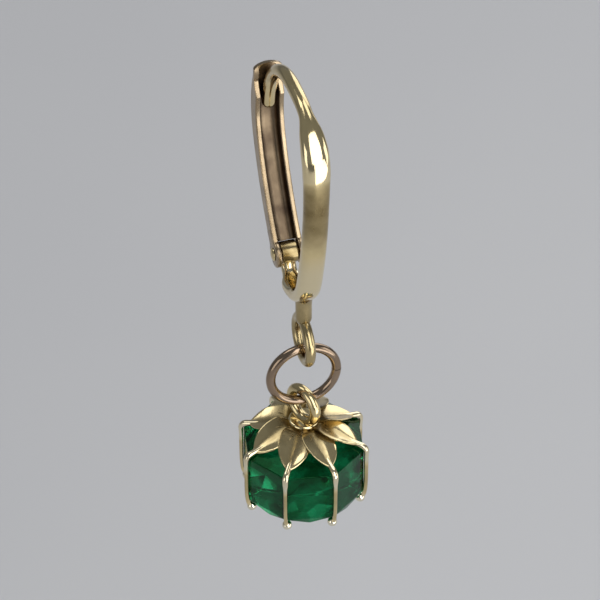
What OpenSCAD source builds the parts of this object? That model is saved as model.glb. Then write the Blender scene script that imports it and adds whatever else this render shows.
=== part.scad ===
// Leverback dangle earring: a hoop with a hinged lever, a jump ring and a capped green stone.
// Millimetres. The origin is the top of the ear wire's arch, on the wire's centre line.
// +Z is up, the hoop lies in the YZ plane with its front strip toward -Y, and X is side to side.

/* [Ear wire and front strip] */
// Diameter of the round ear wire
wire_d = 0.72; // [0.6:0.02:0.8]
// Radius of the arch over the front, on the centre line
front_arch_r = 2.75; // [2.5:0.05:3]
// Radius of the arch down the back, on the centre line
rear_arch_r = 4.6; // [4.5:0.05:4.7]
// Straight run between the two arches
arch_flat = 0.8; // [0.6:0.05:1]
// Turn of the rear arch, down to the wire's free end
rear_turn = 85; // [80:1:88]
// Radius of the front strip's gentle curve
strip_r = 26; // [24:0.5:28]
// Turn of the front strip's gentle curve
strip_turn = 17.5; // [17:0.5:18]
// Radius of the curve under the hoop
bottom_r = 3.1; // [3:0.05:3.2]
// Turn of the curve under the hoop, up to its shoulder
bottom_turn = 66; // [65:1:67]
// Radius of the shoulder that turns up to the hinge
shoulder_r = 1.1; // [1.05:0.05:1.15]
// Turn of the shoulder, into the hinge's knuckle
shoulder_turn = 88; // [86:1:90]
// Width of the front strip
strip_w = 1.4; // [1.3:0.05:1.5]
// Height of the strip's domed front over its centre line
strip_dome = 0.5; // [0.4:0.02:0.6]
// Depth of the strip's flatter back under its centre line
strip_back = 0.26; // [0.2:0.02:0.36]

/* [Eye and stem] */
// How far the eye and all that hangs in it lie in front of the arch's top
drop_y = -0.65; // [-0.8:0.05:-0.5]
// Depth of the eye's centre below the origin
eye_drop = 15.1; // [14.9:0.05:15.4]
// Radius of the eye, on the centre line
eye_r = 1.2; // [1.1:0.02:1.3]
// Diameter of the eye's wire
eye_wire_d = 0.55; // [0.5:0.01:0.6]
// Diameter of the stem that carries the eye
stem_d = 0.84; // [0.7:0.02:0.9]

/* [Lever and hinge] */
// Width of the lever's channel, over both walls
lever_w = 1.5; // [1.4:0.02:1.6]
// Depth of the lever's channel
lever_depth = 0.9; // [0.84:0.02:1]
// Thickness of the channel's side walls
lever_wall = 0.26; // [0.2:0.01:0.3]
// Thickness of the channel's floor
lever_floor = 0.28; // [0.24:0.01:0.3]
// Radius of the lever's long lower curve
lever_r = 15.2; // [14.8:0.1:15.6]
// Angle of the hinge on the lower curve
hinge_at = -43.4; // [-44:0.1:-43]
// Angle where the lower curve meets the upper one
lever_bend_at = -20; // [-22:1:-18]
// Angle of the channel's upper end
lever_top_at = 21; // [18:1:22]
// Radius of the small outward curl of the thumb tab
tab_r = 1.3; // [1.1:0.1:1.6]
// Turn of the thumb tab's curl
tab_turn = 38; // [30:1:45]
// Radius of the cheeks' round ends at the hinge
cheek_r = 0.72; // [0.66:0.02:0.76]
// Radius of the hook's knuckle
knuckle_r = 0.58; // [0.54:0.02:0.62]
// Width of the hook's knuckle
knuckle_w = 0.84; // [0.7:0.02:0.86]
// Diameter of the hinge pin
pin_d = 0.44; // [0.4:0.02:0.5]
// Diameter of the pin's riveted heads
pin_head_d = 0.7; // [0.6:0.02:0.8]
// Height of the pin's riveted heads
pin_head_h = 0.12; // [0.08:0.01:0.16]

/* [Jump ring] */
// Radius of the jump ring, on the centre line
ring_r = 1.76; // [1.7:0.02:1.9]
// Diameter of the jump ring's wire
ring_wire_d = 0.5; // [0.45:0.01:0.55]

/* [Setting] */
// Radius of the bail, on the centre line
bail_r = 0.92; // [0.9:0.01:1]
// Diameter of the bail's wire
bail_wire_d = 0.56; // [0.5:0.01:0.65]
// Turn of the bail about the upright axis
bail_turn = 24; // [0:1:40]
// Radius of the collar under the bail
collar_r = 0.8; // [0.7:0.05:0.95]
// Height of the collar over the cap
collar_h = 0.22; // [0.15:0.01:0.3]
// Thickness of the petals
petal_t = 0.28; // [0.2:0.01:0.32]
// Where a petal begins, from the centre
petal_root = 0.3; // [0.2:0.05:0.6]
// Reach of the petals' tips from the centre
petal_reach = 2.95; // [2.7:0.05:3]
// Width of a petal, one on each claw
petal_w = 1.7; // [1.2:0.05:1.8]
// Radius of the cap's solid middle
cap_r = 1.25; // [1:0.05:1.4]
// Width of a claw
claw_w = 0.32; // [0.28:0.02:0.4]
// Thickness of a claw
claw_t = 0.3; // [0.26:0.02:0.36]
// Diameter of the bead at a claw's tip
claw_tip_d = 0.52; // [0.44:0.02:0.6]
// Turn of the claws and the stone's corners about the upright axis
claw_turn = 12; // [0:1:44]

/* [Stone] */
// Sides of the stone, one claw on each corner
sides = 8; // [8]
// Radius of the stone at its corners
stone_r = 3.25; // [3.1:0.05:3.3]
// Height of the stone's upright facets
girdle_h = 2.9; // [2.6:0.05:3.4]
// Height of the sloping facets under the cap
shoulder_h = 0.95; // [0.8:0.05:1.1]
// Radius of the small flat on top of the stone
crest_r = 1; // [0.9:0.05:1.1]
// Radius of the ring of corners between the side and the table
bevel_r = 2.85; // [2.7:0.05:2.95]
// Height of that ring below the upright facets
bevel_h = 0.45; // [0.4:0.05:0.55]
// Radius of the table, which faces down
table_r = 1.95; // [1.8:0.05:2.1]
// Height of the table below the upright facets
table_h = 0.85; // [0.8:0.05:1]

/* [Hidden] */
gold = "goldenrod";
green = "seagreen";
// Smoothness of round shapes
$fn = 48;
// Room between pieces that rest on each other, and between the hinge's faces
rest_gap = 0.03;
side_gap = 0.06;
// Room between the knuckle and the channel's cut-away end
web_gap = 0.18;
// Radial room of the pin in its bores
pin_gap = 0.03;
// Overlap that makes soldered shapes one solid, and the step that keeps their faces apart
solder = 0.05;
skin = 0.02;

// The lever's upper curve shares its centre with the rear arch, so the wire's end lies in the channel
catch_y = arch_flat;
catch_z = -rear_arch_r;
floor_r = rear_arch_r + wire_d / 2 + rest_gap;
lever_top_r = floor_r + lever_floor - lever_depth / 2;
lever_y = catch_y + (lever_top_r - lever_r) * cos(lever_bend_at);
lever_z = catch_z + (lever_top_r - lever_r) * sin(lever_bend_at);
hinge_y = lever_y + lever_r * cos(hinge_at);
hinge_z = lever_z + lever_r * sin(hinge_at);
channel_w = lever_w - 2 * lever_wall;
web_gap_r = knuckle_r + web_gap;

// Heights of the hanging pieces, each resting in the one above it
ring_z = -eye_drop - eye_r + (eye_wire_d + ring_wire_d) / 2 + rest_gap - ring_r;
bail_z = ring_z - ring_r + (ring_wire_d + bail_wire_d) / 2 + rest_gap - bail_r;
cap_z = bail_z - bail_r - bail_wire_d / 2 + solder;
crest_z = cap_z - petal_t - rest_gap;
shoulder_z = crest_z - shoulder_h;
girdle_z = shoulder_z - girdle_h;

// Facets of one section of the swept strip, and the length of its steps
strip_sides = 16;
strip_step = 0.4;
claw_r = stone_r + rest_gap + claw_t / 2;

// Where a claw's bead rests on the bevel: in from the stone's corner, and below the upright facets
bead_in = 0.17;
bead_drop = 0.48;
corner = 360 / sides;

// Turns shapes drawn in the side view, with Y to the right and Z up, into the YZ plane
module side_view() {
  rotate([90, 0, 90])
    children();
}

// A pin or bore across the hinge, w long
module hinge_round(r, w) {
  translate([0, hinge_y, hinge_z])
    rotate([0, 90, 0])
      cylinder(r = r, h = w, center = true);
}

// Moves what is drawn round the Z axis to the line that the eye and the drop hang on
module hanging() {
  translate([0, drop_y, 0])
    children();
}

// Points [y, z, heading] along an arc from a start point, and along a list of arcs [radius, turn]
function arc_points(from, radius, turn) =
  let(
    s = sign(turn),
    n = ceil(abs(turn) * PI / 180 * radius / strip_step)
  )
  [for (i = [1 : n])
    let(h = from[2] + turn * i / n)
    [from[0] + s * radius * (sin(h) - sin(from[2])), from[1] + s * radius * (cos(from[2]) - cos(h)), h]];

function walk(from, arcs, i = 0) =
  i >= len(arcs) ? [] :
  let(points = arc_points(from, arcs[i][0], arcs[i][1]))
  concat(points, walk(points[len(points) - 1], arcs, i + 1));

// The ear wire and strip, from the free end over the top and down the front to the knuckle
rear_start = [catch_y, 0, 0];
rear_walk = concat([rear_start], walk(rear_start, [[rear_arch_r, -rear_turn]]));
front_start = [0, 0, 180];
front_walk = concat(
  [front_start],
  walk(front_start, [
    [front_arch_r, 90],
    [strip_r, strip_turn],
    [bottom_r, bottom_turn],
    [shoulder_r, shoulder_turn]
  ])
);
hook_walk = concat(
  [for (i = [len(rear_walk) - 1 : -1 : 0]) [rear_walk[i][0], rear_walk[i][1], rear_walk[i][2] + 180]],
  front_walk
);

// Sizes of the strip against its heading: [heading, value]
half_w = [
  [198, wire_d / 2],
  [226, strip_w * 0.44],
  [246, strip_w / 2],
  [266, strip_w / 2],
  [276, strip_w * 0.46],
  [350, strip_w * 0.46],
  [390, knuckle_w / 2 - skin]
];
dome_h = [[198, wire_d / 2], [246, strip_dome], [350, strip_dome], [430, knuckle_r * 0.4]];
back_h = [[198, wire_d / 2], [246, strip_back]];

// Steps of the ear wire's rounded free end: [angle round the end]
end_steps = [80, 55, 28];

function section(p, scale = 1) =
  let(
    out = [sin(p[2]), -cos(p[2])],
    a = lookup(p[2], half_w) * scale,
    b = lookup(p[2], dome_h) * scale,
    c = lookup(p[2], back_h) * scale
  )
  [for (i = [0 : strip_sides - 1])
    let(
      t = 360 * (i + 0.5) / strip_sides,
      n = (sin(t) > 0 ? b : c) * sin(t)
    )
    [a * cos(t), p[0] + out[0] * n, p[1] + out[1] * n]];

function end_section(step) =
  let(
    p = hook_walk[0],
    back = wire_d / 2 * sin(step)
  )
  section([p[0] - back * cos(p[2]), p[1] - back * sin(p[2]), p[2]], cos(step));

module swept_strip() {
  rings = concat([for (s = end_steps) end_section(s)], [for (p = hook_walk) section(p)]);
  m = strip_sides;
  last = len(rings) - 1;
  polyhedron(
    points = [for (ring = rings) each ring],
    faces = concat(
      [[for (i = [0 : m - 1]) i]],
      [for (k = [0 : last - 1], i = [0 : m - 1])
        let(j = (i + 1) % m)
        each [
          [k * m + i, (k + 1) * m + i, (k + 1) * m + j],
          [k * m + i, (k + 1) * m + j, k * m + j]
        ]],
      [[for (i = [m - 1 : -1 : 0]) last * m + i]]
    )
  );
}

// A ring of round wire in the YZ plane, z high
module upright_ring(r, wire, z) {
  translate([0, 0, z])
    rotate([0, 90, 0])
      rotate_extrude()
        translate([r, 0])
          circle(d = wire);
}

module front_hook() {
  eye_top_z = -eye_drop + eye_r;
  under_hoop = [for (p = front_walk) if (p[2] > 270) [p[0], p[1]]];
  stem_top_z = lookup(drop_y, under_hoop) - strip_back / 2;
  color(gold)
    union() {
      difference() {
        union() {
          swept_strip();
          hinge_round(knuckle_r, knuckle_w);
        }
        hinge_round(pin_d / 2 + pin_gap, lever_w);
      }
      hanging() {
        translate([0, 0, eye_top_z])
          cylinder(d = stem_d, h = stem_top_z - eye_top_z);
        upright_ring(eye_r, eye_wire_d, -eye_drop);
      }
    }
}

// The channel's section, with its open side toward the hoop's middle
module channel_section(r) {
  difference() {
    translate([r - lever_depth / 2, -lever_w / 2])
      square([lever_depth, lever_w]);
    translate([r - lever_depth, -channel_w / 2])
      square([lever_depth * 1.5 - lever_floor, channel_w]);
  }
}

module channel_arc(y, z, r, from, to) {
  side_view()
    translate([y, z])
      rotate_extrude(angle = to - from, start = from)
        channel_section(r);
}

// The plain tab that curls outward above the channel, for the thumb, rooted in the channel's floor
module thumb_tab() {
  root_turn = 6;
  reach = lever_top_r + lever_depth / 2 + tab_r;
  side_view()
    translate([catch_y + reach * cos(lever_top_at), catch_z + reach * sin(lever_top_at)])
      rotate_extrude(angle = tab_turn + root_turn, start = 180 + lever_top_at - tab_turn)
        translate([tab_r + skin, -lever_w / 2 + skin])
          square([lever_floor - 2 * skin, lever_w - 2 * skin]);
}

module lever() {
  color(gold)
    difference() {
      union() {
        channel_arc(lever_y, lever_z, lever_r, hinge_at, lever_bend_at);
        channel_arc(catch_y, catch_z, lever_top_r, lever_bend_at, lever_top_at);
        thumb_tab();
        hinge_round(cheek_r, lever_w);
      }
      hinge_round(web_gap_r, channel_w);
      hinge_round(pin_d / 2 + pin_gap, lever_w * 2);
    }
}

module hinge_pin() {
  head_x = lever_w / 2 + side_gap / 2;
  color(gold)
    union() {
      hinge_round(pin_d / 2, 2 * head_x + pin_head_h);
      for (side = [-1, 1])
        translate([side * (head_x + pin_head_h / 2), hinge_y, hinge_z])
          rotate([0, 90, 0])
            cylinder(d = pin_head_d, h = pin_head_h, center = true);
    }
}

module jump_ring() {
  color(gold)
    hanging()
      rotate([0, 0, 90])
        upright_ring(ring_r, ring_wire_d, ring_z);
}

// The petals' outline from above: pointed leaves, each where two circles cross
module petal_outline() {
  half_l = (petal_reach - petal_root) / 2;
  leaf_r = (half_l * half_l + petal_w * petal_w / 4) / petal_w;
  circle(cap_r);
  for (i = [0 : sides - 1])
    rotate(corner * i)
      intersection_for(side = [-1, 1])
        translate([petal_root + half_l, side * (leaf_r - petal_w / 2)])
          circle(leaf_r);
}

// The cap's sloping wall, from its flat middle past the petals' tips
module cap_wall() {
  slope = shoulder_h / (stone_r - crest_r);
  rotate_extrude()
    polygon([
      [0, cap_z],
      [crest_r, cap_z],
      [stone_r, cap_z - slope * (stone_r - crest_r)],
      [stone_r, cap_z - petal_t - slope * (stone_r - crest_r)],
      [crest_r, cap_z - petal_t],
      [0, cap_z - petal_t]
    ]);
}

// A straight bar between two points of the claw's side profile, with round ends
module claw_bar(from, to) {
  run = to - from;
  translate(from)
    rotate(atan2(run[1], run[0])) {
      translate([0, -claw_t / 2])
        square([norm(run), claw_t]);
      circle(d = claw_t);
    }
}

// Side profile of a claw: [radius, height] from the cap over the shoulder and down the corner to its bead
claw_points = [
  [crest_r, crest_z + claw_t / 2 + 2 * rest_gap],
  [stone_r + claw_t * 0.3, shoulder_z + claw_t / 2 + 2 * rest_gap],
  [claw_r, shoulder_z],
  [claw_r, girdle_z - claw_t / 3],
  [stone_r - bead_in, girdle_z - bead_drop]
];

module claw() {
  tip = claw_points[len(claw_points) - 1];
  rotate([90, 0, 0])
    linear_extrude(claw_w, center = true)
      for (i = [0 : len(claw_points) - 2])
        claw_bar(claw_points[i], claw_points[i + 1]);
  translate([tip[0], 0, tip[1]])
    sphere(d = claw_tip_d);
}

module setting() {
  color(gold)
    hanging() {
      rotate([0, 0, bail_turn])
        upright_ring(bail_r, bail_wire_d, bail_z);
      translate([0, 0, cap_z - petal_t / 2])
        cylinder(r = collar_r, h = collar_h + petal_t / 2);
      rotate([0, 0, claw_turn]) {
        intersection() {
          cap_wall();
          translate([0, 0, shoulder_z - 1])
            linear_extrude(shoulder_h + petal_t + 2)
              petal_outline();
        }
        for (i = [0 : sides - 1])
          rotate([0, 0, corner * i])
            claw();
      }
    }
}

// One ring of the stone's corners, turned by half a side where half is 1
function gem_ring(r, z, half) =
  [for (i = [0 : sides - 1])
    let(a = corner * (i + half / 2))
    [r * cos(a), r * sin(a), z]];

// Faces between two rings of the stone: upright quads where the corners line up
function quad_band(k) =
  [for (i = [0 : sides - 1])
    let(j = (i + 1) % sides)
    [k * sides + i, k * sides + j, (k + 1) * sides + j, (k + 1) * sides + i]];

// Triangles where the lower ring is turned half a side on from the upper one
function half_turn_band(k) =
  [for (i = [0 : sides - 1])
    let(j = (i + 1) % sides)
    each [
      [k * sides + i, k * sides + j, (k + 1) * sides + i],
      [k * sides + j, (k + 1) * sides + j, (k + 1) * sides + i]
    ]];

// Triangles where the lower ring is turned half a side back again
function turn_back_band(k) =
  [for (i = [0 : sides - 1])
    let(j = (i + 1) % sides)
    each [
      [k * sides + i, k * sides + j, (k + 1) * sides + j],
      [k * sides + i, (k + 1) * sides + j, (k + 1) * sides + i]
    ]];

module stone() {
  rings = concat(
    gem_ring(crest_r, crest_z, 0),
    gem_ring(stone_r, shoulder_z, 0),
    gem_ring(stone_r, girdle_z, 0),
    gem_ring(bevel_r, girdle_z - bevel_h, 1),
    gem_ring(table_r, girdle_z - table_h, 0)
  );
  color(green)
    hanging()
      rotate([0, 0, claw_turn])
        polyhedron(
          points = rings,
          faces = concat(
            [[for (i = [sides - 1 : -1 : 0]) i]],
            quad_band(0),
            quad_band(1),
            half_turn_band(2),
            turn_back_band(3),
            [[for (i = [0 : sides - 1]) 4 * sides + i]]
          )
        );
}

front_hook();
lever();
hinge_pin();
jump_ring();
setting();
stone();
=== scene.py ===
"""Looks of the leverback dangle earring. Sizes are in millimetres, named as in the part's source, and
become metres where a mesh is made. The hoop lies in the YZ plane, its front strip toward -Y and its lever
toward +Y."""

import bmesh
import bpy
import numpy as np
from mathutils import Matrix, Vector


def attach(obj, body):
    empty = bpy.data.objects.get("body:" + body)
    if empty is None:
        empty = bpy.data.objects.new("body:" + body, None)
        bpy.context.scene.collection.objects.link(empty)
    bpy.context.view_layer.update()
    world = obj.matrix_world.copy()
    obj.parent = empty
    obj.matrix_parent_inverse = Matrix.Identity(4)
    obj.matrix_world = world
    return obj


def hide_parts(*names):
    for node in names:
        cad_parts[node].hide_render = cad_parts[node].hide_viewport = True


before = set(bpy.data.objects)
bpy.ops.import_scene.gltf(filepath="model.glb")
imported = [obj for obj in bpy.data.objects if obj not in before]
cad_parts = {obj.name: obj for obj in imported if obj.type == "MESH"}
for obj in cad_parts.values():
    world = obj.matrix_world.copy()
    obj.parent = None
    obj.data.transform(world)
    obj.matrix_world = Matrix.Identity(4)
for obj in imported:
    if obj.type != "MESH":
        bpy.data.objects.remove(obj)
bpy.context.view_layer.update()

MM = 0.001

# Room between resting pieces, overlap of soldered ones, and the step that keeps their faces apart
REST_GAP = 0.03
SOLDER = 0.05
SKIN = 0.02

# Ear wire and strip: the same walk of arcs as the solid's, each a radius and a turn in degrees
WIRE_D = 0.72
ARCH_FLAT = 0.8
REAR_ARCH_R, REAR_TURN = 4.6, 85
FRONT_ARCH_R, FRONT_TURN = 2.75, 90
STRIP_R, STRIP_TURN = 26, 17.5
BOTTOM_R, BOTTOM_TURN = 3.1, 66
SHOULDER_R, SHOULDER_TURN = 1.1, 88
STRIP_W, STRIP_DOME, STRIP_BACK = 1.4, 0.5, 0.26

# Eye and stem, on the line that the drop hangs on
DROP_Y = -0.65
EYE_Z, EYE_R, EYE_WIRE_D = -15.1, 1.2, 0.55
STEM_D = 0.84

# Lever: a lower curve, then an upper one round the rear arch's centre, then the curl of its thumb tab
LEVER_W, LEVER_DEPTH = 1.5, 0.9
LEVER_WALL, LEVER_FLOOR = 0.26, 0.28
LEVER_R = 15.2
HINGE_AT, LEVER_BEND_AT, LEVER_TOP_AT = -43.4, -20, 21
TAB_R, TAB_TURN = 1.3, 38
CATCH_Y, CATCH_Z = ARCH_FLAT, -REAR_ARCH_R
LEVER_TOP_R = REAR_ARCH_R + WIRE_D / 2 + REST_GAP + LEVER_FLOOR - LEVER_DEPTH / 2
LEVER_Y = CATCH_Y + (LEVER_TOP_R - LEVER_R) * np.cos(np.radians(LEVER_BEND_AT))
LEVER_Z = CATCH_Z + (LEVER_TOP_R - LEVER_R) * np.sin(np.radians(LEVER_BEND_AT))

# Hinge: the hook's knuckle, the lever's cheeks and the riveted pin
HINGE_Y = LEVER_Y + LEVER_R * np.cos(np.radians(HINGE_AT))
HINGE_Z = LEVER_Z + LEVER_R * np.sin(np.radians(HINGE_AT))
KNUCKLE_R, KNUCKLE_W = 0.58, 0.84
CHEEK_R = 0.72
PIN_D = 0.44
PIN_HEAD_D, PIN_HEAD_H = 0.7, 0.12

# Jump ring and bail, each resting in the one above
RING_R, RING_WIRE_D = 1.76, 0.5
BAIL_R, BAIL_WIRE_D, BAIL_TURN = 0.92, 0.56, 24
RING_Z = EYE_Z - EYE_R + (EYE_WIRE_D + RING_WIRE_D) / 2 + REST_GAP - RING_R
BAIL_Z = RING_Z - RING_R + (RING_WIRE_D + BAIL_WIRE_D) / 2 + REST_GAP - BAIL_R

# Cap: a collar and petals. PETAL_LEAN is the petals' slope across their width
CAP_Z = BAIL_Z - BAIL_R - BAIL_WIRE_D / 2 + SOLDER
COLLAR_R, COLLAR_H = 0.8, 0.22
PETAL_T, PETAL_W = 0.28, 1.7
PETAL_ROOT, PETAL_REACH = 0.3, 2.95
PETAL_LEAN = 0.16

# Stone: its rings of corners, from the small flat on top to the table, which faces down
SIDES = 8
STONE_R, CREST_R = 3.25, 1.0
SHOULDER_H, GIRDLE_H = 0.95, 2.9
BEVEL_R, BEVEL_H = 2.85, 0.45
TABLE_R, TABLE_H = 1.95, 0.85
CREST_Z = CAP_Z - PETAL_T - REST_GAP
SHOULDER_Z = CREST_Z - SHOULDER_H
GIRDLE_Z = SHOULDER_Z - GIRDLE_H
CAP_SLOPE = SHOULDER_H / (STONE_R - CREST_R)

# Claws, and the beads at their tips: in from the stone's corners, and below its upright facets
CLAW_W, CLAW_T, CLAW_TURN = 0.32, 0.3, 12
CLAW_TIP_D = 0.52
BEAD_IN, BEAD_DROP = 0.17, 0.48

# Points round a turned shape
AROUND = 48


def add_camera():
    """A long lens from above and to the left of the front, aimed at the middle of the earring."""
    place, aim = Vector((-48.53, -158.94, 133.11)) * MM, Vector((-0.3, -1.0, -12.1)) * MM
    camera = bpy.data.objects.new("camera", bpy.data.cameras.new("camera"))
    bpy.context.collection.objects.link(camera)
    camera.data.lens = 262
    camera.location = place
    camera.rotation_mode = "QUATERNION"
    camera.rotation_quaternion = (aim - place).to_track_quat("-Z", "Y")
    camera.data.clip_start, camera.data.clip_end = 0.01, 10
    bpy.context.scene.camera = camera
    bpy.context.scene.view_settings.view_transform = "Standard"


add_camera()


class Socket:
    """A shader socket that takes part in arithmetic: each operator adds one Math node to its paint."""

    def __init__(self, paint, output):
        self.paint, self.output = paint, output

    def _math(self, operation, *values):
        return self.paint.node("ShaderNodeMath", {"operation": operation}, dict(enumerate(values)))

    def __add__(self, other):
        return self._math("ADD", self, other)

    def __sub__(self, other):
        return self._math("SUBTRACT", self, other)

    def __rsub__(self, other):
        return self._math("SUBTRACT", other, self)

    def __mul__(self, other):
        return self._math("MULTIPLY", self, other)

    def __pow__(self, other):
        return self._math("POWER", self, other)

    __radd__, __rmul__ = __add__, __mul__

    def clamp(self):
        """The value held between 0 and 1."""
        return self._math("MINIMUM", self._math("MAXIMUM", self, 0.0), 1.0)


class Paint:
    """One node material."""

    def __init__(self, name):
        self.material = bpy.data.materials.new(name)
        self.material.use_nodes = True
        self.tree = self.material.node_tree
        self.tree.nodes.clear()

    def node(self, kind, settings=None, values=None, out=0):
        """Adds a node of any type: its settings first, then numbers, colours or other nodes' sockets for
        its own sockets, by name or number. Gives its socket called out, if it has any."""
        made = self.tree.nodes.new(kind)
        for name, value in (settings or {}).items():
            setattr(made, name, value)
        for name, value in (values or {}).items():
            if isinstance(value, Socket):
                self.tree.links.new(value.output, made.inputs[name])
            else:
                made.inputs[name].default_value = value
        return Socket(self, made.outputs[out]) if made.outputs else None

    def place(self):
        """The object's own coordinates, in metres."""
        return self.node("ShaderNodeTexCoord", out="Object")

    def noise(self, size_mm, detail=3.0, stretch=(1, 1, 1), seed=0.0):
        """Soft random values from 0 to 1 over the object's coordinates, with features of size_mm."""
        spot = {"Vector": self.place(), "Scale": stretch, "Location": (seed, seed, 0)}
        spot = self.node("ShaderNodeMapping", values=spot)
        grain = {"Vector": spot, "Scale": 1 / (size_mm * MM), "Detail": detail, "Roughness": 0.55}
        return self.node("ShaderNodeTexNoise", values=grain)

    def attribute(self, name):
        """A number that the mesh holds at each of its points."""
        return self.node("ShaderNodeAttribute", {"attribute_name": name}, out="Fac")

    def mix(self, amount, first, second):
        """The first colour where amount is 0 and the second where it is 1. The Mix node's sockets share
        their names, so its colours go by number."""
        return self.node("ShaderNodeMix", {"data_type": "RGBA"}, {0: amount, 6: first, 7: second}, out=2)

    def finish(self, **values):
        """Ends the tree in a Principled shader with these values."""
        values = {name.replace("_", " "): value for name, value in values.items()}
        shader = self.node("ShaderNodeBsdfPrincipled", values=values)
        self.node("ShaderNodeOutputMaterial", values={"Surface": shader})
        return self.material


def polished_gold(name, bright, dark, rough):
    """Polished metal that follows a number held at its mesh's points: painted shade where it is above 0 and
    a painted highlight where it is below 0. The painted shade plus a soft cloud of random tone about its
    middle value turns the metal dark and duller, and the painted highlight turns it paler. Fine upright
    polishing marks and the cloud roughen and dent it by a hair."""
    highlight_pale = (0.86, 0.80, 0.62, 1)
    cloud_middle, cloud_depth = 0.42, 0.8
    paint = Paint(name)
    painted_light = paint.attribute("painted_light")
    cloud = paint.noise(1.3, detail=4.0)
    marks = paint.noise(0.16, stretch=(1, 1, 0.12), seed=3.0)
    shade_and_tone = (painted_light + (cloud - cloud_middle) * cloud_depth).clamp()
    highlight = (painted_light * -1.0).clamp()
    dents = {"Strength": 0.15, "Distance": 0.03 * MM, "Height": marks * 0.35 + cloud}
    return paint.finish(
        Base_Color=paint.mix(shade_and_tone, paint.mix(highlight, bright, highlight_pale), dark),
        Metallic=1.0,
        Roughness=(shade_and_tone * 0.22 + marks * 0.10 + rough).clamp(),
        Normal=paint.node("ShaderNodeBump", values=dents),
    )


def green_stone():
    """Deep green glass with its light painted into its colour. That painted light is a soft veil of random
    tone about its middle value, plus a painted glow by how low the point lies on the upright facets, plus a
    painted pool of light round one point at the lower front, less painted shade by a share of x and of x
    squared, so that it fades to the right and toward both sides. Random cells, sharpened by a power, are
    painted pale glints such as facets throw."""
    deep, clear, glint_green = (0.0004, 0.020, 0.003, 1), (0.003, 0.150, 0.047, 1), (0.02, 0.62, 0.24, 1)
    pool_place, pool_core, pool_fade = (-0.45 * MM, -3.6 * MM, -23.6 * MM), 1.15, 0.95 / MM
    right_fade, side_fade = 0.1 / MM, 0.04 / MM**2
    veil_middle, veil_depth = 0.5, 3.6
    cell_size, glint_power = 0.85 * MM, 2.5
    paint = Paint("green_stone")
    place = paint.place()
    x = paint.node("ShaderNodeSeparateXYZ", values={"Vector": place}, out="X")
    z = paint.node("ShaderNodeSeparateXYZ", values={"Vector": place}, out="Z")
    low = (SHOULDER_Z / GIRDLE_H - z * (1 / (GIRDLE_H * MM))).clamp()
    veil = paint.noise(1.5, stretch=(1, 1, 0.7), seed=1.0)
    cells = paint.node("ShaderNodeTexVoronoi", values={"Vector": place, "Scale": 1 / cell_size}, out="Color")
    glint_cell = paint.node("ShaderNodeSeparateColor", values={"Color": cells}, out="Red")
    ends = {0: place, 1: pool_place}
    away = paint.node("ShaderNodeVectorMath", {"operation": "DISTANCE"}, ends, out="Value")
    pool = (pool_core - away * pool_fade).clamp()
    light = (veil - veil_middle) * veil_depth + low * 0.7 - x * right_fade - x * x * side_fade + pool * 0.6
    painted_glints = glint_cell**glint_power * (low * 0.7 + pool * 0.8 + 0.15) + pool * 0.3
    return paint.finish(
        Base_Color=paint.mix(painted_glints.clamp(), paint.mix(light.clamp(), deep, clear), glint_green),
        Roughness=(veil * 0.04 + 0.01).clamp(),
        IOR=1.45,
        Transmission_Weight=0.85,
        Specular_IOR_Level=0.2,
        Specular_Tint=(0.10, 0.5, 0.18, 1),
    )


GOLD = polished_gold("polished_gold", (0.80, 0.65, 0.355, 1), (0.13, 0.085, 0.025, 1), 0.05)
# A darker, rose-toned copy of the gold for the lever and its cheeks: its darkness is painted shade
LEVER_GOLD = polished_gold("shaded_rose_gold", (0.56, 0.43, 0.27, 1), (0.075, 0.050, 0.035, 1), 0.14)
# A darker, browner copy of the gold for the jump ring: its darkness is painted shade
RING_GOLD = polished_gold("shaded_brown_gold", (0.36, 0.265, 0.185, 1), (0.05, 0.034, 0.025, 1), 0.05)
STONE = green_stone()


def make_piece(name, points, faces, body, node, painted_light=0.0, material=GOLD, slot="gold", smooth=True):
    """Puts points in millimetres and blocks of faces into a mesh, turns its faces outwards and lets it
    ride on a body in place of a node. A smooth piece keeps an edge sharp where its faces meet at more
    than 38 degrees."""
    mesh = bpy.data.meshes.new(name)
    mesh.from_pydata((points * MM).tolist(), [], [face for block in faces for face in block.tolist()])
    shades = np.full(len(points), painted_light, dtype=np.float32)
    mesh.attributes.new("painted_light", "FLOAT", "POINT").data.foreach_set("value", shades)
    shell = bmesh.new()
    shell.from_mesh(mesh)
    bmesh.ops.recalc_face_normals(shell, faces=shell.faces)
    shell.to_mesh(mesh)
    shell.free()
    mesh.polygons.foreach_set("use_smooth", np.full(len(mesh.polygons), smooth))
    if smooth:
        mesh.set_sharp_from_angle(angle=np.radians(38))
    mesh.materials.append(material)
    piece = bpy.data.objects.new(name, mesh)
    bpy.context.collection.objects.link(piece)
    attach(piece, body)
    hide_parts(node)
    return piece


def tube(rings, loop=False):
    """Points and blocks of faces over a stack of closed rings, given as rings, points and XYZ. A loop
    joins its last ring to its first. An open stack gets a point at each end's middle and a fan of
    triangles to it."""
    rings = np.asarray(rings, float)
    count, sides = rings.shape[:2]
    index = np.arange(count * sides).reshape(count, sides)
    upper = np.roll(index, -1, 0) if loop else index[1:]
    lower = index if loop else index[:-1]
    faces = [np.stack([lower, np.roll(lower, -1, 1), np.roll(upper, -1, 1), upper], -1).reshape(-1, 4)]
    points = rings.reshape(-1, 3)
    if not loop:
        points = np.vstack([points, rings[0].mean(0), rings[-1].mean(0)])
        first, last = index[0], index[-1]
        faces.append(np.stack([np.roll(first, -1), first, np.full(sides, count * sides)], -1))
        faces.append(np.stack([last, np.roll(last, -1), np.full(sides, count * sides + 1)], -1))
    return points, faces


def rounded(count, power):
    """Unit points round a superellipse: each angle's cosine and sine to 2 / power, signs kept."""
    turn = 2 * np.pi * (np.arange(count) + 0.5) / count
    across, up = np.cos(turn), np.sin(turn)
    return np.sign(across) * np.abs(across) ** (2 / power), np.sign(up) * np.abs(up) ** (2 / power)


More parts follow.
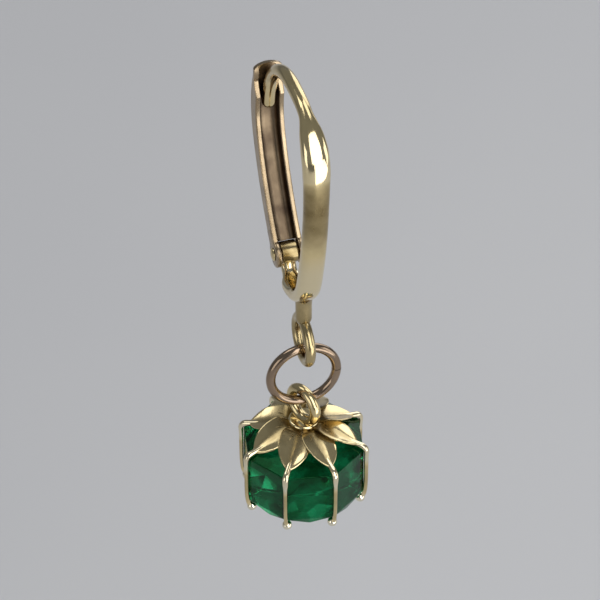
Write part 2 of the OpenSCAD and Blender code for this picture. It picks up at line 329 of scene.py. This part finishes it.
def ease(value, table):
    """Looks value up in pairs of place and size, on a cubic between each two. The curve's slope at a pair
    is the harmonic mean of the slopes on both sides, or level where their signs differ and at the ends."""
    place, size = np.array(table, float).T
    slope = np.diff(size) / np.diff(place)
    same_sign = slope[:-1] * slope[1:] > 0
    mean = 2 * slope[:-1] * slope[1:] / np.where(same_sign, slope[:-1] + slope[1:], 1)
    tangent = np.concatenate([[0], np.where(same_sign, mean, 0), [0]])
    k = np.clip(np.searchsorted(place, value) - 1, 0, len(place) - 2)
    span, rise = place[k + 1] - place[k], size[k + 1] - size[k]
    start, end = tangent[k] * span, tangent[k + 1] * span
    share = np.clip((value - place[k]) / span, 0, 1)
    square, cube = 3 * rise - 2 * start - end, start + end - 2 * rise
    return size[k] + share * start + share**2 * square + share**3 * cube


def walk(start, arcs, step=0.09):
    """Points Y, Z and heading h, a step apart, along arcs of radius and turn. On each arc h grows evenly,
    and the point moves by the radius times the change of sin h and of minus cos h, toward the side that
    the arc turns to."""
    path = [np.array([start], float)]
    for radius, turn in arcs:
        y, z, h = path[-1][-1]
        side = np.sign(turn)
        count = int(np.ceil(abs(np.radians(turn)) * radius / step))
        heading = h + turn * np.arange(1, count + 1) / count
        now, before = np.radians(heading), np.radians(h)
        y = y + side * radius * (np.sin(now) - np.sin(before))
        z = z + side * radius * (np.cos(before) - np.cos(now))
        path.append(np.column_stack([y, z, heading]))
    return np.vstack(path)


def on_circle(centre, radius, turn):
    """Points at these turns on a circle in a plane, and their directions from its centre."""
    out = np.column_stack([np.cos(np.radians(turn)), np.sin(np.radians(turn))])
    return np.asarray(centre) + radius * out, out


def sweep(line, out, across, rise):
    """Rings of points X, Y, Z carried along a line in the YZ plane: across is X, and a point lies its
    rise from the line in the direction out."""
    return np.stack([across, line[:, :1] + out[:, :1] * rise, line[:, 1:2] + out[:, 1:2] * rise], -1)


def revolve(name, profile, centre, axis, body, node, painted_light=0.0):
    """Turns a profile of radius and height round an axis through centre: 0 is X and 2 is Z."""
    profile = np.asarray(profile, float)
    turn = 2 * np.pi * np.arange(AROUND) / AROUND
    across = [i for i in range(3) if i != axis]
    rings = np.zeros((len(profile), AROUND, 3))
    rings[..., across[0]] = profile[:, :1] * np.cos(turn)
    rings[..., across[1]] = profile[:, :1] * np.sin(turn)
    rings[..., axis] = profile[:, 1:]
    make_piece(name, *tube(rings + np.asarray(centre, float)), body, node, painted_light)


def wire_ring(name, z, radius, wire_d, yaw, body, node, painted_light, gap=0.0, count=96, material=GOLD):
    """A ring of round wire standing upright at height z: a circle in the plane turned by yaw, and round
    each of its points the wire's own circle. A gap in degrees leaves two cut ends facing each other, and
    a last ring of a smaller size rounds the edge of each."""
    end_size, wire_count = 0.86, 20
    turn = np.linspace(gap / 2, 360 - gap / 2, count) if gap else 360 * np.arange(count) / count
    turn, yaw = np.radians(turn), np.radians(yaw)
    wire_turn = 2 * np.pi * np.arange(wire_count) / wire_count
    run, side = np.array([np.sin(yaw), -np.cos(yaw), 0]), np.array([np.cos(yaw), np.sin(yaw), 0])
    out = np.cos(turn)[:, None] * run + np.sin(turn)[:, None] * np.array([0, 0, 1.0])
    rings = out[:, None] * (radius + wire_d / 2 * np.cos(wire_turn))[None, :, None]
    rings = rings + side * (wire_d / 2 * np.sin(wire_turn))[None, :, None]
    if gap:
        ends = rings[[0, -1]]
        middle = ends.mean(1, keepdims=True)
        ends = middle + (ends - middle) * end_size
        rings = np.concatenate([ends[:1], rings, ends[1:]])
    points, faces = tube(rings + np.array([0, DROP_Y, z]), loop=not gap)
    make_piece(name, points, faces, body, node, painted_light, material)


FRONT_WALK = walk((0, 0, 180), [
    (FRONT_ARCH_R, FRONT_TURN), (STRIP_R, STRIP_TURN), (BOTTOM_R, BOTTOM_TURN), (SHOULDER_R, SHOULDER_TURN),
])

# Sizes and shades of the hook against the heading of its walk in degrees, which is 180 on the arch, 270
# on the strip, 360 under the hoop and 441.5 at the knuckle
HALF_WIDTH = [
    [198, WIRE_D / 2], [226, STRIP_W * 0.44], [246, STRIP_W / 2], [266, STRIP_W / 2],
    [276, STRIP_W * 0.46], [350, STRIP_W * 0.46], [392, KNUCKLE_W / 2 - SKIN],
]
DOME_HEIGHT = [[198, WIRE_D / 2], [246, STRIP_DOME], [350, STRIP_DOME], [430, KNUCKLE_R * 0.4]]
BACK_HEIGHT = [[198, WIRE_D / 2], [246, STRIP_BACK]]
SQUARENESS = [[200, 0.0], [240, 1.0], [355, 1.0], [400, 0.3]]
# Painted shade where a shade is above 0 and a painted highlight where it is below 0
DOME_SHADE = [
    [198, 0.1], [225, 0.0], [240, -0.2], [268, -0.2], [272, 0.6], [277, 0.55],
    [281, 0.0], [285, -0.4], [300, -0.35], [330, 0.0], [360, 0.3], [400, 0.6],
]
BACK_SHADE = [[320, 0.0], [350, -0.6], [400, -0.3], [430, 0.3]]


def hook_line():
    """Points Y, Z and heading from the wire's free end over both arches, down the strip and round to the
    knuckle, each moved twelve times halfway to the mean of its neighbours. Before them come the middles
    of the rings that round off the free end, as a ball's do. The second result is how large each point's
    section is."""
    rear = walk((CATCH_Y, 0, 0), [(REAR_ARCH_R, -REAR_TURN)])[::-1]
    rear[:, 2] += 180
    line = np.vstack([rear, FRONT_WALK])
    for _ in range(12):
        line[1:-1] = line[1:-1] / 2 + (line[:-2] + line[2:]) / 4
    end_turn = np.radians([86, 74, 60, 45, 30, 15])
    heading = np.radians(line[0, 2])
    end = np.repeat(line[:1], len(end_turn), 0)
    end[:, 0] -= WIRE_D / 2 * np.sin(end_turn) * np.cos(heading)
    end[:, 1] -= WIRE_D / 2 * np.sin(end_turn) * np.sin(heading)
    return np.vstack([end, line]), np.concatenate([np.cos(end_turn), np.ones(len(line))])


def add_hook():
    """The ear wire and strip: one section carried along the hook's line. It is a circle where SQUARENESS
    is 0 and a superellipse where it is 1, HALF_WIDTH to each side, and as high as the dome outward and
    the back inward."""
    section_count, strip_power = 40, 2.7
    line, size = hook_line()
    heading, size = line[:, 2], size[:, None]
    tables = (HALF_WIDTH, DOME_HEIGHT, BACK_HEIGHT, SQUARENESS)
    half, dome, back, square = (ease(heading, table)[:, None] for table in tables)
    round_across, round_up = rounded(section_count, 2.0)
    flat_across, flat_up = rounded(section_count, strip_power)
    across = round_across + (flat_across - round_across) * square
    up = round_up + (flat_up - round_up) * square
    out = np.column_stack([np.sin(np.radians(heading)), -np.cos(np.radians(heading))])
    rings = sweep(line, out, half * across * size, np.where(up > 0, dome, back) * up * size)
    shade = np.where(up < 0, ease(heading, BACK_SHADE)[:, None], ease(heading, DOME_SHADE)[:, None])
    # No painted shade at the free end's point, deep painted shade at the end inside the knuckle
    painted_light = np.append(shade.ravel(), [0.0, 0.9])
    make_piece("ear_wire_and_strip", *tube(rings), "hook", "front_hook", painted_light)


def add_stem():
    """The stem: a round bar that swells from the eye's wire to its full size, and flares into the solder
    under the hoop by a power of e that fades with the distance from its top. It carries painted shade of a
    half throughout, and powers of e deepen the painted shade toward both ends, where it meets the solder
    and the eye."""
    in_solder, in_eye = 0.1, 0.2
    flare, flare_length, shade_length = 0.22, 0.17, 0.3
    under = FRONT_WALK[FRONT_WALK[:, 2] > 270]
    foot = EYE_Z + EYE_R - in_eye
    length = np.interp(DROP_Y, under[:, 0], under[:, 1]) - in_solder - foot
    share = np.linspace(0, 1, 40)
    up, down = length * share, (1 - share) * length
    radius = ease(up, [[0, 0.22], [0.14, 0.31], [0.5, STEM_D / 2], [length, STEM_D / 2]])
    radius = radius + flare * np.exp(-down / flare_length)
    shade = 0.5 + 0.5 * np.exp(-down / shade_length) + 0.4 * np.exp(-up / shade_length)
    painted_light = np.append(np.repeat(shade, AROUND), [0, 0])
    revolve("stem", np.column_stack([radius, foot + up]), (0, DROP_Y, 0), 2, "hook", "front_hook", painted_light)


def add_knuckle():
    """The hinge's knuckle: a short cylinder across the hook, its profile's corners quarter circles."""
    edge = 0.06
    turn = np.radians(np.linspace(0, 90, 5))
    radius = KNUCKLE_R - edge + edge * np.sin(turn)
    corner = np.column_stack([radius, KNUCKLE_W / 2 - edge + edge * np.cos(turn)])
    profile = np.vstack([corner * (1, -1), corner[::-1]])
    # The knuckle carries painted shade
    revolve("knuckle", profile, (0, HINGE_Y, HINGE_Z), 0, "hook", "front_hook", 0.6)


def add_pin():
    """The riveted pin: a plain shaft and two low domes, their profile an ellipse's quarter."""
    turn = np.radians(np.linspace(4, 90, 9))
    under_head = LEVER_W / 2 + REST_GAP
    head = np.column_stack([PIN_HEAD_D / 2 * np.sin(turn), under_head + PIN_HEAD_H * np.cos(turn)])
    half = np.vstack([head, [[PIN_D / 2, under_head]]])
    profile = np.vstack([half, half[::-1] * (1, -1)])
    revolve("hinge_rivet", profile, (0, HINGE_Y, HINGE_Z), 0, "hook", "hinge_pin")


def round_corners(corners, radius, count):
    """A closed outline whose corners are quadratic curves from a radius before each corner to a radius
    after it. A point just outside each curve keeps the flat beside it flat."""
    outside = 1.15
    corners = np.asarray(corners, float)
    before, after = np.roll(corners, 1, 0) - corners, np.roll(corners, -1, 0) - corners
    before = before * (radius / np.linalg.norm(before, axis=1))[:, None]
    after = after * (radius / np.linalg.norm(after, axis=1))[:, None]
    share = np.linspace(0, 1, count + 1)[:, None, None]
    curve = corners + (1 - share) ** 2 * before + share * share * after
    curve = np.concatenate([[corners + before * outside], curve, [corners + after * outside]])
    return curve.transpose(1, 0, 2).reshape(-1, 2)


def lever_line():
    """Points Y, Z along the middle of the lever's channel, from the hinge to the tab's end, and the
    directions away from the hoop. Then the share of the walls' height at each point, which sinks along an
    S curve toward the tab, and the share of the width, which ends as a circle does."""
    channel_start, sink_start, sunk = 2.25, 12, 0.97
    tip_count, tip_most = 8, 0.985
    catch, reach = (CATCH_Y, CATCH_Z), LEVER_DEPTH / 2 + TAB_R
    lower = np.linspace(HINGE_AT + channel_start, LEVER_BEND_AT, 60)
    upper = np.linspace(LEVER_BEND_AT, LEVER_TOP_AT, 60)[1:]
    curl = np.linspace(0, TAB_TURN, 24)[1:]
    tab_centre = on_circle(catch, LEVER_TOP_R + reach, LEVER_TOP_AT)[0]
    arcs = [
        on_circle((LEVER_Y, LEVER_Z), LEVER_R, lower),
        on_circle(catch, LEVER_TOP_R, upper),
        on_circle(tab_centre, reach, 180 + LEVER_TOP_AT - curl),
    ]
    line = np.vstack([points for points, _ in arcs])
    out = np.vstack([arcs[0][1], arcs[1][1], -arcs[2][1]])
    sink = np.clip((upper - sink_start) / (LEVER_TOP_AT - sink_start), 0, 1)
    sink = np.concatenate([np.zeros(len(lower)), sink, np.ones(len(curl))])
    wall = 1 - sunk * sink * sink * (3 - 2 * sink)
    tip = np.minimum(np.arange(1, tip_count + 1) / tip_count, tip_most)
    width = np.append(np.ones(len(line) - tip_count), np.sqrt(1 - tip**2))
    return line, out, wall[:, None], width[:, None]


def add_lever():
    """The lever's channel: its outline, with soft corners, carried along the lever's line. What stands
    above the floor is drawn down to it by the walls' share, and its inside is shaded."""
    inside_shade, outside_shade, near = 0.75, 0.25, 0.02
    line, out, wall, width = lever_line()
    deep, wide = LEVER_DEPTH / 2, LEVER_W / 2
    floor, inner = deep - LEVER_FLOOR, wide - LEVER_WALL
    corners = [
        [-deep, -wide], [deep, -wide], [deep, wide], [-deep, wide],
        [-deep, inner], [floor, inner], [floor, -inner], [-deep, -inner],
    ]
    rim, edge, root = 0.07, 0.1, 0.34
    depth, across = round_corners(corners, np.array([rim, edge, edge, rim, rim, root, root, rim]), 6).T
    rise = floor - (floor - depth) * np.where(depth < floor, wall, 1.0)
    inside = (np.abs(across) < inner + near) & (depth < floor + near)
    # Painted shade: deep inside the channel, light outside it and at both ends
    painted_light = np.append(np.tile(np.where(inside, inside_shade, outside_shade), len(line)), [0.2, 0.2])
    rings = sweep(line, out, across * width, rise)
    make_piece("lever_channel", *tube(rings), "lever", "lever", painted_light, LEVER_GOLD)


def add_cheeks():
    """The two cheeks: each is a disc round the pin with a straight tail into the channel's wall, in
    layers across the wall that are inset at both faces."""
    tail, tail_slant, overlap, thicken = 1.25, 0.03, 0.004, 1.03
    turn = np.radians(HINGE_AT + 90)
    along, across = np.array([np.cos(turn), np.sin(turn)]), np.array([np.sin(turn), -np.cos(turn)])
    layers = [[0, 0.06], [0.02, 0.02], [0.06, 0]]
    layers += [[LEVER_WALL - place, inset] for place, inset in layers[::-1]]
    for side, name in ((-1, "cheek_left"), (1, "cheek_right")):
        rings = []
        for place, inset in layers:
            radius, half = CHEEK_R - inset, LEVER_DEPTH / 2 - inset
            mouth = np.arcsin(half / radius)
            round_pin = np.linspace(mouth, 2 * np.pi - mouth, 40)[:, None]
            disc = radius * (np.cos(round_pin) * along + np.sin(round_pin) * across)
            far = tail * along
            tail_end = np.array([far - (half + tail_slant) * across, far + (half - tail_slant) * across])
            flat = np.vstack([disc, tail_end]) + (HINGE_Y, HINGE_Z)
            x = side * (LEVER_W / 2 - LEVER_WALL - overlap + place * thicken)
            rings.append(np.column_stack([np.full(len(flat), x), flat]))
        # Light painted shade on each cheek
        make_piece(name, *tube(rings), "lever", "lever", 0.25, LEVER_GOLD)


def add_collar():
    """The collar under the bail: a low drum whose upper edge is a quarter circle."""
    lip_r, in_cap = 0.12, 0.1
    turn = np.radians(np.linspace(0, 90, 8))
    lip_z = CAP_Z + COLLAR_H - lip_r
    lip = np.column_stack([COLLAR_R - lip_r + lip_r * np.sin(turn), lip_z + lip_r * np.cos(turn)])
    foot = [[COLLAR_R, CAP_Z + SKIN], [COLLAR_R - in_cap, CAP_Z - in_cap]]
    profile = np.vstack([[[SKIN, CAP_Z + COLLAR_H]], lip, foot])
    revolve("collar", profile, (0, DROP_Y, 0), 2, "drop", "setting")


def add_cap():
    """The cap under the petals: a thin shell, flat near the collar and falling by a power beyond it."""
    inner_r, flat_r, outer_r = 0.3, CREST_R * 0.9, 1.3
    below_petals, fall_power = 0.03, 1.15
    radius = np.linspace(inner_r, outer_r, 14)
    upper = CAP_Z - below_petals - CAP_SLOPE * np.maximum(radius - flat_r, 0) ** fall_power
    lower = upper - PETAL_T * 0.8
    profile = np.vstack([np.column_stack([radius, upper]), np.column_stack([radius, lower])[::-1]])
    # Deep painted shade on the cap, under the petals
    revolve("cap", profile, (0, DROP_Y, 0), 2, "drop", "setting", 0.75)


def petal():
    """A leaf along X: its edges are two circles' arcs that cross at its root and tip, its section is a
    rounded bar whose edges curl up by a power of the share of the half width, and its middle line falls
    with the cap's slope. It leans to one side, by PETAL_LEAN times the distance from its middle line, so
    that each lies over the next. Its points crowd toward the tip."""
    thinnest, neck, half_t = 0.01, CLAW_W * 0.45, PETAL_T * 0.36
    curl_rise, curl_power, curl_most, curl_under = 0.34, 1.6, 0.7, 0.9
    groove_shade, under_shade = 0.8, 0.6
    near_tip = 1 - (1 - np.linspace(0.25, 0.995, 9)) ** 2 * 0.11
    share = np.concatenate([np.linspace(0, 0.93, 34), near_tip])[:, None]
    length = PETAL_REACH - PETAL_ROOT
    reach = PETAL_ROOT + length * share
    edge_r = ((length / 2) ** 2 + (PETAL_W / 2) ** 2) / PETAL_W
    half = np.sqrt(edge_r**2 - (reach - PETAL_ROOT - length / 2) ** 2) - (edge_r - PETAL_W / 2)
    half = np.maximum(half, neck * np.minimum(1, 6 * share))
    half = np.maximum(half, thinnest)
    across, up = rounded(44, 2.6)
    thick = np.minimum(half_t, half * 0.9)
    curl = curl_rise * np.abs(across) ** curl_power * np.minimum(half, curl_most) * np.minimum(1, 3 * share)
    middle = CAP_Z - PETAL_T * 0.5 - CAP_SLOPE * np.maximum(reach - CREST_R, 0) * 0.98
    z = middle + thick * up + np.where(up > 0, curl, curl * curl_under) - PETAL_LEAN * half * across
    rings = np.stack([np.broadcast_to(reach, z.shape), half * across, z], -1)
    # Painted shade along the middle, at the root and on the underside
    groove = np.clip(1 - np.abs(across) * 2.4, 0, 1) * np.clip(1.4 - 1.1 * share, 0, 1)
    root_shade = np.clip(1.45 - 2.3 * share, 0, 1)
    painted_light = np.where(up > 0, np.maximum(groove * groove_shade, root_shade), under_shade)
    return *tube(rings), np.append(np.clip(painted_light, 0, 1).ravel(), [0.5, 0.0])


def claw():
    """A claw along X. Its side line starts in a petal, passes over the stone's shoulder and down its
    corner to the bead, and is rounded by cutting its corners three times. Its section is a soft-cornered
    bar that thins toward the bead. It carries painted highlights over its bend and at its tip, and painted
    shade at its root and along its shaft."""
    line = np.array([
        [2.1, CAP_Z - PETAL_T * 0.55 - CAP_SLOPE * 1.1],
        [STONE_R - 0.45, SHOULDER_Z + 0.36],
        [STONE_R + 0.15, SHOULDER_Z + 0.22],
        [STONE_R + 0.13, SHOULDER_Z - 0.45],
        [STONE_R + 0.12, GIRDLE_Z - 0.1],
        [STONE_R - BEAD_IN, GIRDLE_Z - BEAD_DROP],
    ])
    for _ in range(3):
        cut = np.empty((2 * len(line) - 2, 2))
        cut[0::2] = 0.75 * line[:-1] + 0.25 * line[1:]
        cut[1::2] = 0.25 * line[:-1] + 0.75 * line[1:]
        line = np.vstack([line[:1], cut, line[-1:]])
    run = np.gradient(line, axis=0)
    run /= np.linalg.norm(run, axis=1)[:, None]
    out = np.column_stack([-run[:, 1], run[:, 0]])
    length = np.append(0, np.cumsum(np.linalg.norm(np.diff(line, axis=0), axis=1)))
    share = length / length[-1]
    across, up = rounded(20, 2.5)
    half_w = CLAW_W / 2 * ease(share, [[0, 0.9], [0.2, 1.0], [0.34, 0.95], [0.44, 0.64], [1, 0.6]])[:, None]
    half_t = CLAW_T / 2 * ease(share, [[0, 0.7], [0.2, 1.0], [0.4, 0.8], [1, 0.75]])[:, None]
    rings = sweep(line, out, half_w * across, half_t * up)[..., [1, 0, 2]]
    # Painted shade at the root and along the shaft, painted highlights over the bend and at the tip
    shades = [[0, 0.3], [0.12, -0.4], [0.26, -0.5], [0.42, -0.8], [0.5, 0.2], [0.88, 0.2], [1, -0.9]]
    return *tube(rings), np.append(np.repeat(ease(share, shades), len(across)), [0.0, 0.0])


def bead():
    """The round bead at a claw's tip: circles of the radius times the sine of an angle, at heights of the
    radius times its cosine, and a point at each pole."""
    radius, count = CLAW_TIP_D / 2, 24
    tilt = np.linspace(0, np.pi, count // 2 + 1)[1:-1, None]
    turn = 2 * np.pi * np.arange(count) / count
    rings = np.stack([np.sin(tilt) * np.cos(turn), np.sin(tilt) * np.sin(turn), np.cos(tilt) + 0 * turn], -1)
    points, faces = tube(rings * radius)
    points[-2:] = [[0, 0, radius], [0, 0, -radius]]
    # The whole bead is a painted highlight
    return points + np.array([STONE_R - BEAD_IN, 0, GIRDLE_Z - BEAD_DROP]), faces, np.full(len(points), -1.0)


def turned(points, degrees):
    """Points turned about the upright axis and moved to the line that the drop hangs on."""
    cos, sin = np.cos(np.radians(degrees)), np.sin(np.radians(degrees))
    x, y, z = np.moveaxis(np.asarray(points, float), -1, 0)
    return np.stack([cos * x - sin * y, sin * x + cos * y + DROP_Y, z], -1)


def add_at_corners(name, points, faces, painted_light):
    """One piece of the setting, made of the same shape at each of the stone's corners."""
    all_points = np.vstack([turned(points, CLAW_TURN + 360 / SIDES * k) for k in range(SIDES)])
    all_faces = [block + k * len(points) for k in range(SIDES) for block in faces]
    make_piece(name, all_points, all_faces, "drop", "setting", np.tile(painted_light, SIDES))


def gem_ring(radius, z, half):
    """Corners of one ring of the stone, turned by half a side where half is 1."""
    turn = np.radians(360 / SIDES * (np.arange(SIDES) + half / 2))
    return np.column_stack([radius * np.cos(turn), radius * np.sin(turn), np.full(SIDES, z)])


def add_stone():
    """The cut stone: five rings of corners, flat facets between them, and a hair's breadth of bevel on
    each edge. The fourth ring is turned by half a side, so triangles join it to its neighbours."""
    rings = [
        gem_ring(CREST_R, CREST_Z, 0),
        gem_ring(STONE_R, SHOULDER_Z, 0),
        gem_ring(STONE_R, GIRDLE_Z, 0),
        gem_ring(BEVEL_R, GIRDLE_Z - BEVEL_H, 1),
        gem_ring(TABLE_R, GIRDLE_Z - TABLE_H, 0),
    ]
    i = np.arange(SIDES)
    j = (i + 1) % SIDES
    girdle, bevel, table = 2 * SIDES, 3 * SIDES, 4 * SIDES
    faces = [
        np.stack([i, table + i]),
        np.column_stack([i, j, SIDES + j, SIDES + i]),
        np.column_stack([SIDES + i, SIDES + j, girdle + j, girdle + i]),
        np.column_stack([girdle + i, girdle + j, bevel + i]),
        np.column_stack([girdle + j, bevel + j, bevel + i]),
        np.column_stack([bevel + i, bevel + j, table + j]),
        np.column_stack([bevel + i, table + j, table + i]),
    ]
    points = turned(np.vstack(rings), CLAW_TURN)
    stone = make_piece(
        "cut_stone", points, faces, "drop", "stone", material=STONE, slot="stone", smooth=False
    )
    edges = stone.modifiers.new("edges", "BEVEL")
    edges.width, edges.segments = 0.035 * MM, 2
    edges.limit_method, edges.angle_limit = "ANGLE", np.radians(12)


def add_floor():
    """A pale square floor well under the earring, its two greys mixed by a soft noise."""
    half, depth = 2, 55 * MM
    paint = Paint("pale_floor")
    grey = paint.mix(paint.noise(40, detail=2.0), (0.585, 0.585, 0.605, 1), (0.64, 0.64, 0.65, 1))
    mesh = bpy.data.meshes.new("floor")
    corners = [(-half, -half, -depth), (half, -half, -depth), (half, half, -depth), (-half, half, -depth)]
    mesh.from_pydata(corners, [], [(0, 1, 2, 3)])
    mesh.materials.append(paint.finish(Base_Color=grey, Roughness=0.75))
    floor = bpy.data.objects.new("floor", mesh)
    bpy.context.collection.objects.link(floor)


# Large soft lights: name, place, aim, width and height, and glow, the brightness of the light's face as a
# polished surface mirrors it
LIGHTS = [
    ("top_light", (85, 65, 165), (0, 0, -16), (110, 110), 1.5),
    ("soft_top", (-85, 90, 150), (0, 0, -20), (85, 100), 1.5),
    ("back_light", (155, 180, 60), (0, 0, -18), (150, 190), 1.25),
    ("left_light", (-175, -95, 15), (0, 0, -13), (120, 130), 1.15),
    ("front_card", (58, -108, -25), (58, -52.5, 61), (102, 100), 2.2),
    ("front_light", (28, -150, 88), (10, -5, -8), (120, 220), 2.1),
    ("right_light", (170, -70, 5), (0, 0, -10), (110, 120), 1.2),
]


def add_lights():
    """Soft lights and a dim bluish world. A light's power is its glow times pi times its area."""
    world = bpy.data.worlds.new("studio")
    world.use_nodes = True
    background = world.node_tree.nodes["Background"].inputs
    background["Color"].default_value, background["Strength"].default_value = (0.92, 0.96, 1.0, 1), 0.22
    bpy.context.scene.world = world
    for name, place, aim, (width, height), glow in LIGHTS:
        light = bpy.data.lights.new(name, "AREA")
        light.shape, light.size, light.size_y = "RECTANGLE", width * MM, height * MM
        light.energy = glow * np.pi * light.size * light.size_y
        light.spread = np.radians(165)
        lamp = bpy.data.objects.new(name, light)
        lamp.location = Vector(place) * MM
        lamp.rotation_mode = "QUATERNION"
        lamp.rotation_quaternion = ((Vector(aim) - Vector(place)) * MM).to_track_quat("-Z", "Y")
        lamp.visible_camera = False
        bpy.context.collection.objects.link(lamp)


# Hook
add_hook()
add_stem()
# The eye carries painted shade
wire_ring("eye", EYE_Z, EYE_R, EYE_WIRE_D, 0, "hook", "front_hook", 0.4)
add_knuckle()
add_pin()

# Lever
add_lever()
add_cheeks()

# Jump ring, its cut ends a hair apart
# The jump ring carries a little painted shade
wire_ring(
    "jump_ring_wire", RING_Z, RING_R, RING_WIRE_D, 90, "ring", "jump_ring", 0.1,
    gap=1.2, count=110, material=RING_GOLD,
)

# Drop
# The bail carries a little painted shade
wire_ring("bail", BAIL_Z, BAIL_R, BAIL_WIRE_D, BAIL_TURN, "drop", "setting", 0.15)
add_collar()
add_cap()
add_at_corners("petals", *petal())
add_at_corners("claws", *claw())
add_at_corners("claw_beads", *bead())
add_stone()

add_floor()
add_lights()
